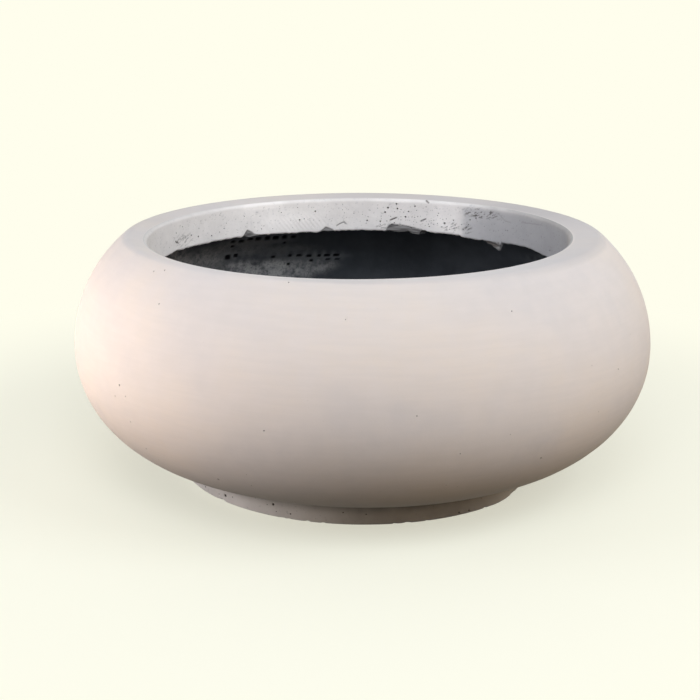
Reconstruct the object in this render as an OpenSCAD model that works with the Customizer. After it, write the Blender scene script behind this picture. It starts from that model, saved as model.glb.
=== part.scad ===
// Concrete bowl planter: a squat round bowl with an in-turned rim, standing on a short foot ring.
// The wall is laid up by hand in layers: a pale face coat, a fibre-reinforced backing coat,
// a glass-fibre mesh and a black seal coat. The drain hole in the floor has a lift-out plug.
// Millimetres, +Z up. The origin is the centre of the foot ring's underside.

/* [Overall size] */
// Largest diameter, round the belly
bowl_d = 600; // [580:5:640]
// Height of the rim above the ground
bowl_h = 249; // [240:1:265]
// Height of the widest line above the ground
belly_z = 136; // [128:1:142]

/* [Rim] */
// Diameter of the mouth, inside the lip
mouth_d = 436; // [410:1:450]
// Width of the land on top of the rim, from the mouth to the shoulder
land_w = 27; // [22:0.5:34]
// Distance from the mouth to the highest line of the land
crest_in = 22.5; // [16:0.5:23]
// Radius of the land's dome
crown_r = 60; // [45:1:100]
// Rounding between the land and the shoulder
rim_edge_r = 12; // [9:0.5:15]
// Rounding between the land and the lip
lip_edge_r = 4; // [2:0.5:6]

/* [Lip] */
// Depth of the lip below the top of the rim
lip_h = 44; // [32:1:55]
// Thickness of the lip at its root
lip_root_t = 12; // [9:0.5:14]
// Thickness of the lip at its free edge
lip_tip_t = 9; // [7:0.5:11]
// Rounding of the lip's free edge
lip_tip_r = 2.5; // [1:0.5:3]
// Height of the backing packed into the corner under the rim, measured from the top of the rim
rim_pack_h = 25; // [22:1:30]

/* [Wall] */
// Thickness of the pale face coat
face_t = 4; // [3:0.5:6]
// Thickness of the backing coat
backing_t = 7; // [5:0.5:12]
// Thickness of the glass-fibre mesh
mesh_t = 0.8; // [0.6:0.1:1.5]
// Thickness of the black seal coat
seal_t = 1; // [0.8:0.1:2]
// Bond line between two layers
bond_gap = 0.3; // [0.2:0.05:0.5]

/* [Foot] */
// Outer diameter of the foot ring
foot_d = 387; // [350:1:400]
// Height of the bowl's underside above the ground
foot_h = 25; // [18:1:32]
// Width of the foot ring's section
foot_w = 22; // [16:1:30]
// Rounding of the ring's edges at the ground
foot_edge_r = 1.5; // [1:0.5:4]
// Draft of the ring's inner face, from the ground to its top
foot_draft = 2; // [1:0.5:4]
// Thickness of the mortar bed between the ring and the bowl
bed_t = 2; // [1.2:0.2:4]
// Depth to which the bed's edges are raked back
bed_rake = 1.5; // [0.5:0.5:3]

/* [Drain] */
// Diameter of the drain hole
drain_d = 26; // [22:1:40]
// Clearance between the plug's ribs and the hole
plug_gap = 0.3; // [0.3:0.05:0.6]
// Lap of the plug's flange beyond the hole's edge
flange_lap = 7; // [4:0.5:12]
// Thickness of the plug's flange
flange_t = 4; // [3:0.5:6]
// Distance from the plug's tip up to the bowl's underside
tip_inset = 1.5; // [1:0.5:4]
// Radius of the sealing ribs' section
rib_r = 1; // [0.8:0.1:1.4]
// Number of sealing ribs
rib_count = 3; // [2:1:4]
// Narrowing of the stem's radius from flange to tip
stem_taper = 1; // [0.5:0.1:1.5]
// Wall of the hollow stem
stem_wall = 3; // [2:0.5:4]
// Depth of the hollow in the stem
stem_core_h = 8; // [4:0.5:9]
// Diameter of the finger grip's head
grip_d = 14; // [12:0.5:18]
// Diameter of the grip's neck
neck_d = 8; // [6:0.5:10]
// Height of the grip above the flange
grip_h = 9; // [8:0.5:14]

/* [Hidden] */
$fn = 160;

bowl_r = bowl_d / 2;
mouth_r = mouth_d / 2;
foot_r = foot_d / 2;
drain_r = drain_d / 2;
lip_z = bowl_h - lip_h;
pack_z = bowl_h - rim_pack_h;
over = 1;                        // overrun of a cut past the face that it opens

// Layers, as distances in from the bowl's outer surface
backing_in = face_t + bond_gap;
mesh_in = backing_in + backing_t + bond_gap;
seal_in = mesh_in + mesh_t + bond_gap;
inside_in = seal_in + seal_t;
inner_floor_z = foot_h + inside_in;
layer_top_z = pack_z - bond_gap;

// Land: an arc whose crest lies crest_in from the mouth, so that it falls inwards to the lip
crown_c = [mouth_r + crest_in, bowl_h - crown_r];
land_end = [mouth_r + land_w, crown_c.y + sqrt(pow(crown_r, 2) - pow(land_w - crest_in, 2))];

// Belly: a lower and an upper arc that meet upright at the widest line.
// The lower arc runs level into the underside; the upper one rises to the end of the land.
under_r = belly_z - foot_h;
belly_c = [bowl_r - under_r, belly_z];
shoulder_run = bowl_r - land_end.x;
shoulder_r = (pow(shoulder_run, 2) + pow(land_end.y - belly_z, 2)) / (2 * shoulder_run);
shoulder_c = [bowl_r - shoulder_r, belly_z];

// Roundings at the rim's two edges touch the arcs on both sides of them
edge_c = circles_meet(shoulder_c, shoulder_r - rim_edge_r, crown_c, crown_r - rim_edge_r);
lip_edge_x = mouth_r + lip_edge_r;
lip_edge_c = [lip_edge_x,
    crown_c.y + sqrt(pow(crown_r - lip_edge_r, 2) - pow(lip_edge_x - crown_c.x, 2))];

// Upper of the two points at the distances ra from a and rb from b
function circles_meet(a, ra, b, rb) =
    let (gap = norm(b - a), dir = (b - a) / gap,
        along = (pow(ra, 2) - pow(rb, 2) + pow(gap, 2)) / (2 * gap),
        off = sqrt(pow(ra, 2) - pow(along, 2)))
    a + along * dir + off * [-dir.y, dir.x];

// Point at the distance r from centre c, in the direction of point p
function towards(c, p, r) = c + r * (p - c) / norm(p - c);

// Radius of the upper arc at height z, the wall moved in by inset
function shoulder_at(z, inset) =
    shoulder_c.x + sqrt(pow(shoulder_r - inset, 2) - pow(z - belly_z, 2));

// Piece of a disc between its arc and the chord from p to q, which run anticlockwise,
// with a shallow keel that laps what lies inside the chord
module arc_cap(c, r, p, q) {
    chord = norm(q - p);
    out = [q.y - p.y, p.x - q.x] / chord;
    keel = (p + q) / 2 - chord / 8 * out;
    intersection() {
        translate(c) circle(r);
        polygon([p, p + r * out, q + r * out, q, keel]);
    }
}

// Half section of the whole bowl's outside, filled to the axis below the widest line
module outside_section() {
    start = [belly_c.x, foot_h];
    widest = [bowl_r, belly_z];
    edge_start = towards(shoulder_c, edge_c, shoulder_r);
    land_start = towards(crown_c, edge_c, crown_r);
    land_stop = towards(crown_c, lip_edge_c, crown_r);
    lip_start = [mouth_r, lip_edge_c.y];
    polygon([[0, foot_h], start, widest, edge_start, land_start, land_stop, lip_start,
        [mouth_r, belly_z], [0, belly_z]]);
    arc_cap(belly_c, under_r, start, widest);
    arc_cap(shoulder_c, shoulder_r, widest, edge_start);
    arc_cap(edge_c, rim_edge_r, edge_start, land_start);
    arc_cap(crown_c, crown_r, land_start, land_stop);
    arc_cap(lip_edge_c, lip_edge_r, land_stop, lip_start);
}

// Half section of the space inside the face coat, the wall moved in by inset,
// with the pocket behind the lip. The lip's back stands gap clear of it.
module pocket_section(inset, gap, mouth_z) {
    start = [belly_c.x, foot_h + inset];
    widest = [bowl_r - inset, belly_z];
    edge_start = towards(shoulder_c, edge_c, shoulder_r - inset);
    roof_start = towards(crown_c, edge_c, crown_r - inset);
    root_x = mouth_r + lip_root_t + gap;
    roof_stop = [root_x, crown_c.y + sqrt(pow(crown_r - inset, 2) - pow(root_x - crown_c.x, 2))];
    tip = [mouth_r + lip_tip_t + gap, mouth_z];
    polygon([[0, foot_h + inset], start, widest, edge_start, roof_start, roof_stop, tip, [0, mouth_z]]);
    arc_cap(belly_c, under_r - inset, start, widest);
    arc_cap(shoulder_c, shoulder_r - inset, widest, edge_start);
    arc_cap(edge_c, rim_edge_r - inset, edge_start, roof_start);
    arc_cap(crown_c, crown_r - inset, roof_start, roof_stop);
}

// Half section of the bowl's hollow with the wall moved in by inset, cut level at top_z
module hollow_section(inset, top_z) {
    start = [belly_c.x, foot_h + inset];
    widest = [bowl_r - inset, belly_z];
    top = [shoulder_at(top_z, inset), top_z];
    polygon([[0, foot_h + inset], start, widest, top, [0, top_z]]);
    arc_cap(belly_c, under_r - inset, start, widest);
    arc_cap(shoulder_c, shoulder_r - inset, widest, top);
}

// Half section of one layer of the lining, from inset to inset + thickness
module layer_section(inset, thickness) {
    difference() {
        hollow_section(inset, layer_top_z);
        hollow_section(inset + thickness, layer_top_z + over);
    }
}

// Revolves a half section round the axis and opens the drain hole in it
module revolved_with_drain() {
    rotate_extrude() difference() {
        children();
        square([drain_r, inner_floor_z + over]);
    }
}

// Rounded free edge of the lip
module lip_tip_section() {
    translate([mouth_r + lip_tip_r, lip_z]) square([lip_tip_t - 2 * lip_tip_r, lip_tip_r]);
    for (x = [lip_tip_r, lip_tip_t - lip_tip_r])
        intersection() {
            translate([mouth_r + x, lip_z + lip_tip_r]) circle(lip_tip_r, $fn = 48);
            translate([mouth_r, lip_z]) square([lip_tip_t, lip_tip_r]);
        }
}

// Pale face coat: underside, belly, shoulder, land and in-turned lip
module bowl_shell() {
    color([0.88, 0.85, 0.82])
    revolved_with_drain() {
        difference() {
            outside_section();
            pocket_section(face_t, 0, lip_z + lip_tip_r);
        }
        lip_tip_section();
    }
}

// Fibre-reinforced backing coat, packed solid into the corner under the rim
module backing_coat() {
    color([0.6, 0.59, 0.57])
    revolved_with_drain() difference() {
        pocket_section(backing_in, bond_gap, lip_z);
        hollow_section(backing_in + backing_t, pack_z);
    }
}

// Glass-fibre mesh pressed into the backing, drawn as the thin layer that it fills
module fibre_mesh() {
    color([0.82, 0.84, 0.8])
    revolved_with_drain() layer_section(mesh_in, mesh_t);
}

// Black seal coat that lines the inside
module seal_coat() {
    color([0.13, 0.14, 0.16])
    revolved_with_drain() layer_section(seal_in, seal_t);
}

// Foot ring: upright outer face, drafted inner face, rounded edges on the ground
module foot_ring() {
    top_z = foot_h - bed_t;
    inner_r = foot_r - foot_w;
    color([0.72, 0.7, 0.68])
    rotate_extrude() {
        polygon([[inner_r + foot_draft, foot_edge_r], [foot_r, foot_edge_r], [foot_r, top_z],
            [inner_r, top_z]]);
        translate([inner_r + foot_draft + foot_edge_r, 0])
            square([foot_w - foot_draft - 2 * foot_edge_r, foot_edge_r]);
        for (x = [inner_r + foot_draft + foot_edge_r, foot_r - foot_edge_r])
            intersection() {
                translate([x, foot_edge_r]) circle(foot_edge_r, $fn = 32);
                translate([inner_r + foot_draft, 0]) square([foot_w - foot_draft, foot_edge_r]);
            }
    }
}

// Mortar bed between the foot ring and the bowl, raked back at both edges
module foot_bed() {
    color([0.5, 0.48, 0.46])
    translate([0, 0, foot_h - bed_t])
    difference() {
        cylinder(h = bed_t, r = foot_r - bed_rake);
        translate([0, 0, -over]) cylinder(h = bed_t + 2 * over, r = foot_r - foot_w + bed_rake);
    }
}

// Half section of the drain plug, its flange resting on z = 0
module plug_section() {
    flange_r = drain_r + flange_lap;
    rib_x = drain_r - plug_gap - rib_r;
    stem_h = inside_in - tip_inset;
    rib_pitch = stem_h / (rib_count + 1);
    head_r = grip_d / 2;
    head_z = flange_t + grip_h - head_r / 2;
    // flange with a half-round edge
    square([flange_r - flange_t / 2, flange_t]);
    translate([flange_r - flange_t / 2, flange_t / 2]) circle(flange_t / 2, $fn = 48);
    // hollow, tapered stem with sealing ribs
    difference() {
        union() {
            polygon([[0, 0], [0, -stem_h], [rib_x - stem_taper, -stem_h], [rib_x, 0]]);
            for (i = [1:rib_count])
                translate([rib_x - stem_taper * i / (rib_count + 1), -i * rib_pitch])
                    circle(rib_r, $fn = 32);
        }
        translate([0, -stem_h - over])
            square([rib_x - stem_taper - stem_wall, stem_core_h + over]);
    }
    // finger grip: a neck under a rounded head
    translate([0, flange_t]) square([neck_d / 2, grip_h - head_r / 2]);
    intersection() {
        translate([0, head_z]) square([head_r, head_r / 2]);
        union() {
            square([head_r / 2, head_z + head_r / 2]);
            translate([head_r / 2, head_z]) circle(head_r / 2, $fn = 48);
        }
    }
}

// Rubber drain plug, lifted out by its grip
module drain_plug() {
    color([0.16, 0.16, 0.17])
    translate([0, 0, inner_floor_z]) rotate_extrude() plug_section();
}

bowl_shell();
backing_coat();
fibre_mesh();
seal_coat();
foot_ring();
foot_bed();
drain_plug();
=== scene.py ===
import math
import bpy
import numpy as np
from mathutils import Matrix, Vector


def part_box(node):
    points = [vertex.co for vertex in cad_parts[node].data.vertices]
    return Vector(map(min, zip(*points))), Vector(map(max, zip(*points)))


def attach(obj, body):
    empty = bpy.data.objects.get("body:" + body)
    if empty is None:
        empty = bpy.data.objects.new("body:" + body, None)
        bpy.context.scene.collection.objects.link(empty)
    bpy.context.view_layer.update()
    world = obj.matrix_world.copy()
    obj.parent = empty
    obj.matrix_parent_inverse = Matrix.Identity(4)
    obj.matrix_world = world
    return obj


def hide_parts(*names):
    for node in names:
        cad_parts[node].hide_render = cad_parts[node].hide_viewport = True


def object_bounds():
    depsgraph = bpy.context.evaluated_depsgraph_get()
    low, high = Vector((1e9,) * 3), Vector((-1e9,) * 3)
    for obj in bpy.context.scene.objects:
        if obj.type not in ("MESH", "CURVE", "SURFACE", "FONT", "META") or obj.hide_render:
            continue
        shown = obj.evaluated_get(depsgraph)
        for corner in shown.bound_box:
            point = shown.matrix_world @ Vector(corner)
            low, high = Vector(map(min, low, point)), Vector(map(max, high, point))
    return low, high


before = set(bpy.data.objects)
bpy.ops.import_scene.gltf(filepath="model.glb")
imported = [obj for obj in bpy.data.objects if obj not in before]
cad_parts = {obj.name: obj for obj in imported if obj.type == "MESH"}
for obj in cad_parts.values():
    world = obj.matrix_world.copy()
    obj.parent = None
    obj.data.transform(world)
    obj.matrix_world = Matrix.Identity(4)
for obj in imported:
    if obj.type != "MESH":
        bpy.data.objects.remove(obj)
cadLow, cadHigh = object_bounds()
mm = 0.001
print("frame: CAD box %.3f x %.3f x %.3f m" % tuple(cadHigh - cadLow))


# shader steps

def srgb(*levels):
    # Screen levels from 0 to 255 as the linear colour that a shader takes.
    c = np.array(levels) / 255
    return tuple(np.where(c <= 0.04045, c / 12.92, ((c + 0.055) / 1.055) ** 2.4))


def newMaterial(name, roughness):
    paint = bpy.data.materials.new(name)
    paint.use_nodes = True
    paint.node_tree.nodes["Principled BSDF"].inputs["Roughness"].default_value = roughness
    return paint, paint.node_tree


def step(tree, kind, feeds, **settings):
    # New shader node with these settings. feeds gives an input a number, a tuple, another node's output, or
    # the name of a trait that the mesh keeps on its points.
    made = tree.nodes.new("ShaderNode" + kind)
    for key, value in settings.items():
        setattr(made, key, value)
    for key, value in feeds.items():
        socket = made.inputs[key]
        if isinstance(value, str):
            value = step(tree, "Attribute", {}, attribute_name=value).outputs["Fac"]
        if isinstance(value, bpy.types.NodeSocket):
            tree.links.new(value, socket)
        elif isinstance(value, tuple):
            socket.default_value = (*value, 1)[:len(socket.default_value)]
        else:
            socket.default_value = value
    return made


def lumps(tree, size, variant, detail=3, flat=1):
    # Cloudy pattern from 0 to 1 on the object's own coordinates; size is that of a lump, in metres, and
    # flat says how many times lower than wide it is.
    where = step(tree, "TexCoord", {}).outputs["Object"]
    squeezed = step(tree, "Mapping", {"Scale": (1, 1, flat), "Vector": where}).outputs[0]
    feeds = {"W": variant, "Scale": 1 / size, "Detail": detail, "Vector": squeezed}
    return step(tree, "TexNoise", feeds, noise_dimensions="4D").outputs[0]


def specks(tree, size, variant):
    # Distance to the nearest of scattered points, in units of their spacing.
    feeds = {"W": variant, "Scale": 1 / size, "Vector": step(tree, "TexCoord", {}).outputs["Object"]}
    return step(tree, "TexVoronoi", feeds, voronoi_dimensions="4D").outputs["Distance"]


def between(tree, value, low, high, top=1):
    # 0 at low, top at high, smooth between; low may be the larger.
    feeds = {0: value, 1: low, 2: high, 3: 0, 4: top}
    return step(tree, "MapRange", feeds, interpolation_type="SMOOTHSTEP").outputs[0]


def combine(tree, kind, a, b):
    # One arithmetic step on two values.
    return step(tree, "Math", {0: a, 1: b}, operation=kind).outputs[0]


def tinted(tree, share, below, above):
    # Colour that goes from below to above as share goes from 0 to 1.
    return step(tree, "Mix", {0: share, 6: below, 7: above}, data_type="RGBA").outputs[2]


def mixed(tree, share, below, above):
    # Shader that goes from below to above as share goes from 0 to 1.
    return step(tree, "MixShader", {0: share, 1: below, 2: above}).outputs[0]


def painted(tree, colour, *coats):
    # Colour under coats that are laid one over the other, each (share, colour).
    for share, over in coats:
        colour = tinted(tree, share, colour, over)
    return colour


def clouded(tree, name, size, variant, swing):
    # Trait of this name, plus or minus half of swing in lumps.
    cloudy = combine(tree, "MULTIPLY", lumps(tree, size, variant), swing)
    return combine(tree, "ADD", name, combine(tree, "SUBTRACT", cloudy, swing / 2))


def finish(paint, colour, *layers):
    # Base colour, and fine bumps added up in the normal: size, variant and detail of lumps, height in metres.
    tree = paint.node_tree
    shader = tree.nodes["Principled BSDF"]
    tree.links.new(colour, shader.inputs["Base Color"])
    below = {}
    for size, variant, detail, height in layers:
        feeds = {**below, "Distance": height, "Height": lumps(tree, size, variant, detail)}
        below = {"Normal": step(tree, "Bump", feeds).outputs[0]}
    tree.links.new(below["Normal"], shader.inputs["Normal"])
    return paint


def added(name, data):
    thing = bpy.data.objects.new(name, data)
    bpy.context.collection.objects.link(thing)
    return thing


# camera, floor, lamps

camera = {
    "height": 0.5017,        # lens above the floor, metres
    "distance": 1.3534,      # lens in front of the bowl's axis
    "pitch": 0.276,         # down, radians
    "yaw": -0.0094,
    "roll": 0.0036,
    "focal": 1.8807,         # focal length in frame widths
}

studio = {
    "floorSize": 120,                      # metres
    "floorSeen": (1, 0.991, 0.847),      # cream, as the camera sees it
    "floorLit": (0.95, 0.94, 0.81),        # the same cream as a surface under this light
    "shadow": 0.46,                        # how much of the object's shadow the floor keeps
    "shadowReach": (0.34, 0.8),            # metres from the axis where the shadow starts and ends to fade
    "floorBounce": (0.02, 0.017, 0.014),  # what the floor gives back to the object
    "sky": (0.24, 0.24, 0.24),             # even part of the sky
    "north": (0.4, 0.4, 0.4),           # added from behind
}

lamps = {   # place, aim, size, colour, power; the ground lamps are patches of warm ground that face up
    "front": ((0, -1.6, 1.8), (0, 0, 0.15), (1.2, 1.2), (0.829, 0.901, 1), 19.6),
    "right": ((1.6, -0.8, 1.6), (0, 0, 0.15), (1.2, 1.2), (0.811, 0.902, 1), 20.5),
    "left": ((-2, -0.5, 0.8), (0, 0, 0.15), (1, 0.8), (0.871, 0.9, 1), 15.4),
    "rightLow": ((2, -0.5, 0.7), (0, 0, 0.15), (1, 0.8), (1, 0.932, 0.871), 5.4),
    "groundLeft": ((-0.7, -0.25, 0.02), (-0.7, -0.25, 1), (0.4, 0.5), (1, 0.778, 0.597), 6.56),
    "groundFront": ((0, -0.95, 0.02), (0, -0.95, 1), (1, 0.5), (1, 0.676, 0.361), 2.04),
    "glowRight": ((1.4, -0.9, 0.35), (0, 0, 0.1), (1, 0.5), (1, 0.596, 0.169), 3.36),
    "glowLeft": ((-1.3, -1, 0.35), (0, 0, 0.1), (1, 0.5), (1, 0.854, 0.719), 4.3),
}

# a lamp over the mouth, for the lip
bulb = {"at": (0, 0, 0.3), "radius": 0.05, "colour": (0.97, 0.97, 1), "power": 0.31}


def makeCamera(c):
    # Looks along +Y, turned by yaw, tilted down by pitch, then rolled about its own axis.
    data = bpy.data.cameras.new("camera")
    data.sensor_width = 36
    data.lens = data.sensor_width * c["focal"]
    data.clip_end = 200
    lens = added("camera", data)
    turn = Matrix.Rotation(-c["yaw"], 4, "Z") @ Matrix.Rotation(math.pi / 2 - c["pitch"], 4, "X")
    place = Matrix.Translation((0, -c["distance"], c["height"]))
    lens.matrix_world = place @ turn @ Matrix.Rotation(c["roll"], 4, "Z")
    bpy.context.scene.camera = lens


def seenRays(tree):
    # 1 for rays that show the backdrop itself: camera, glossy and transmission rays.
    rays = step(tree, "LightPath", {}).outputs
    most = combine(tree, "MAXIMUM", rays["Is Camera Ray"], rays["Is Glossy Ray"])
    return combine(tree, "MAXIMUM", most, rays["Is Transmission Ray"])


def makeFloor(s):
    # Cream that glows, mixed near the object with the same cream lit by the lamps, which shows the shadow.
    half = s["floorSize"] / 2
    mesh = bpy.data.meshes.new("floor")
    corners = [(-half, -half, 0), (half, -half, 0), (half, half, 0), (-half, half, 0)]
    mesh.from_pydata(corners, [], [(0, 1, 2, 3)])
    floor = added("floor", mesh)
    paint = bpy.data.materials.new("floor")
    paint.use_nodes = True
    tree = paint.node_tree
    tree.nodes.clear()
    where = step(tree, "TexCoord", {}).outputs["Object"]
    reach = step(tree, "VectorMath", {0: where}, operation="LENGTH").outputs["Value"]
    near, far = s["shadowReach"]
    glow = step(tree, "Emission", {"Color": s["floorSeen"]}).outputs[0]
    lit = step(tree, "BsdfDiffuse", {"Color": s["floorLit"]}).outputs[0]
    seen = mixed(tree, between(tree, reach, far, near, s["shadow"]), glow, lit)
    bounce = step(tree, "BsdfDiffuse", {"Color": s["floorBounce"]}).outputs[0]
    step(tree, "OutputMaterial", {0: mixed(tree, seenRays(tree), bounce, seen)})
    mesh.materials.append(paint)


def makeWorld(s):
    # Light = sky + north * max(0, y), by the direction that it comes from.
    world = bpy.data.worlds.new("studio")
    bpy.context.scene.world = world
    world.use_nodes = True
    tree = world.node_tree
    where = step(tree, "TexCoord", {}).outputs["Generated"]
    along = step(tree, "VectorMath", {0: where, 1: (0, 1, 0)}, operation="DOT_PRODUCT").outputs["Value"]
    feeds = {0: s["north"], "Scale": combine(tree, "MAXIMUM", along, 0)}
    fromNorth = step(tree, "VectorMath", feeds, operation="SCALE").outputs[0]
    total = step(tree, "VectorMath", {0: s["sky"], 1: fromNorth}).outputs[0]
    light = tree.nodes["Background"]
    tree.links.new(total, light.inputs["Color"])
    shown = step(tree, "Background", {"Color": s["floorSeen"]}).outputs[0]
    either = mixed(tree, seenRays(tree), light.outputs[0], shown)
    tree.links.new(either, tree.nodes["World Output"].inputs[0])


def placeLight(name, data, at, colour, power):
    data.color = colour
    data.energy = power
    light = added(name, data)
    light.location = at
    light.visible_camera = False
    return light


def makeLamps(table, over):
    for name, (at, to, size, colour, power) in table.items():
        data = bpy.data.lights.new(name, "AREA")
        data.shape = "RECTANGLE"
        data.size, data.size_y = size
        light = placeLight(name, data, at, colour, power)
        light.rotation_euler = (Vector(to) - Vector(at)).to_track_quat("-Z", "Y").to_euler()
    data = bpy.data.lights.new("bulb", "POINT")
    data.shadow_soft_size = over["radius"]
    placeLight("bulb", data, over["at"], over["colour"], over["power"])


makeCamera(camera)
makeFloor(studio)
makeWorld(studio)
makeLamps(lamps, bulb)
bpy.context.scene.view_settings.view_transform = "Standard"
print("studio: camera, floor, sky and", len(lamps) + 1, "lamps")


# surfaces as whole arrays

def cloud(p, size, seed):
    # Value noise from -1 to 1: seeded random levels on the corners of a cubic lattice of this size,
    # blended with the smooth step 3t^2 - 2t^3.
    rng = np.random.default_rng(seed)
    shuffle = rng.permutation(256)
    levels = rng.uniform(-1, 1, 256)
    cell = np.floor(p / size).astype(int)
    t = p / size - cell
    t = t * t * (3 - 2 * t)
    total = 0
    for dx, dy, dz in np.ndindex(2, 2, 2):
        corner = shuffle[(cell[..., 0] + dx) & 255]
        corner = shuffle[(corner + cell[..., 1] + dy) & 255]
        corner = shuffle[(corner + cell[..., 2] + dz) & 255]
        weight = 1
        for k, near in enumerate((dx, dy, dz)):
            weight = weight * (t[..., k] if near else 1 - t[..., k])
        total = total + levels[corner] * weight
    return total


def layered(p, size, seed, octaves=3):
    # Sum of clouds, each half as large and half as high as the one before.
    return sum(cloud(p, size / 2**k, seed + k) / 2**k for k in range(octaves)) / 1.6


def smooth(x, low, high):
    # 0 below low, 1 above high, and the smooth step 3t^2 - 2t^3 between.
    t = np.clip((x - low) / (high - low), 0, 1)
    return t * t * (3 - 2 * t)


def turnsFrom(azimuth, centre):
    # Signed angle in degrees from centre to azimuth, the short way round.
    return (azimuth - centre + 180) % 360 - 180


def hill(x, y, patch):
    # An oval hill: patch holds the centre and the half-size in x, then in y, and may hold the height.
    x0, wide, y0, tall, *height = patch
    near = np.hypot(turnsFrom(x, x0) / wide, (y - y0) / tall)
    return (1 - smooth(near, 0.35, 1)) * (height[0] if height else 1)


def hills(x, y, patches):
    # The highest of several hills at each point.
    return np.max([hill(x, y, patch) for patch in patches], 0)


def arc(centre, radius, start, stop, count):
    # Points on a circle in the (r, z) plane, from the start angle to just before the stop angle.
    a = np.radians(np.linspace(start, stop, count, endpoint=False))
    return np.stack([centre[0] + radius * np.cos(a), centre[1] + radius * np.sin(a)], -1)


def run(start, stop, count):
    # Points on a straight line, from start to just before stop.
    t = np.linspace(0, 1, count, endpoint=False)[:, None]
    return (1 - t) * np.array(start) + t * np.array(stop)


def turned(profile, angles):
    # Surface of revolution: (r, z) at the azimuth a becomes (r cos a, r sin a, z).
    r, z = profile[None, :, 0], profile[None, :, 1]
    a = angles[:, None]
    return np.stack([r * np.cos(a), r * np.sin(a), z + 0 * a], -1)


def outward(points):
    # Unit normals of a closed grid: the cross product of its two central differences.
    u = np.roll(points, -1, 0) - np.roll(points, 1, 0)
    v = np.roll(points, -1, 1) - np.roll(points, 1, 1)
    n = np.cross(u, v)
    return n / np.maximum(np.linalg.norm(n, axis=-1, keepdims=True), 1e-12)


def freeBlocks(marks, reach, shape):
    # Keeps the marks whose square blocks of cells don't overlap and don't cross the grid's seam.
    taken = np.zeros(shape, bool)
    kept = []
    for i, j, half, wide, deep in marks:
        low, high = (i - half, j - half), (i + half, j + half)
        if low[0] < 1 or high[0] > shape[0] - 2 or low[1] < reach[0] or high[1] > reach[1]:
            continue
        block = taken[low[0] - 1:high[0] + 1, low[1] - 1:high[1] + 1]
        if not block.any():
            taken[low[0]:high[0], low[1]:high[1]] = True
            kept.append((i, j, half, wide, deep))
    return kept, taken


pitProfile = (   # share of the pit's radius, share of its depth, darkness of its painted shade
    (1.2, 0, 0), (1, 0.1, 0.3), (0.8, 0.6, 0.9), (0.45, 0.95, 1),
)


def makePits(points, normals, marks, seed):
    # A pit replaces a square block of cells: rings of pitProfile shrink from the block's edge to a
    # centre point, each pushed in along the normal. Every ring has as many points as the edge.
    rng = np.random.default_rng(seed)
    extra, homes, dark, quads, fans = [], [], [], [], []
    first = points.shape[0] * points.shape[1]
    rows = points.shape[1]
    for half in sorted({m[2] for m in marks}):
        group = [m for m in marks if m[2] == half]
        i, j = (np.array([m[k] for m in group]) for k in (0, 1))
        wide, deep = (np.array([m[k] for m in group]) for k in (3, 4))
        side = np.arange(-half, half)
        end = 0 * side + half
        sides = (side, -end), (end, side), (-side, end), (-end, -side)
        edge = np.concatenate([np.stack(pair, 1) for pair in sides])
        around = (i[:, None] + edge[None, :, 0]) * rows + j[:, None] + edge[None, :, 1]
        centre, normal = points[i, j], normals[i, j]
        spoke = points.reshape(-1, 3)[around] - centre[:, None]
        spoke -= (spoke * normal[:, None]).sum(-1, keepdims=True) * normal[:, None]
        spoke /= np.linalg.norm(spoke, axis=-1, keepdims=True)
        ragged = rng.uniform(0.8, 1.1, spoke.shape[:2])
        ring = around
        # each ring goes deeper and takes its darkness of painted shade
        for share, drop, shade in pitProfile:
            place = centre[:, None] + spoke * (ragged * share * wide[:, None] / 2)[..., None]
            place = place - normal[:, None] * (drop * deep)[:, None, None]
            inner = first + np.arange(place.shape[0] * place.shape[1]).reshape(place.shape[:2])
            first += inner.size
            extra.append(place.reshape(-1, 3))
            homes.append(np.repeat(i * rows + j, place.shape[1]))
            dark.append(np.full(inner.size, shade))
            corners = [ring, np.roll(ring, -1, 1), np.roll(inner, -1, 1), inner]
            quads.append(np.stack(corners, -1).reshape(-1, 4))
            ring = inner
        bottom = first + np.arange(len(group))
        first += len(group)
        extra.append(centre - normal * deep[:, None])
        homes.append(i * rows + j)
        dark.append(np.ones(len(group)))
        tip = np.broadcast_to(bottom[:, None], ring.shape)
        fans.append(np.stack([ring, np.roll(ring, -1, 1), tip], -1).reshape(-1, 3))
    return extra, np.concatenate(homes), np.concatenate(dark), quads, fans


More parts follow.
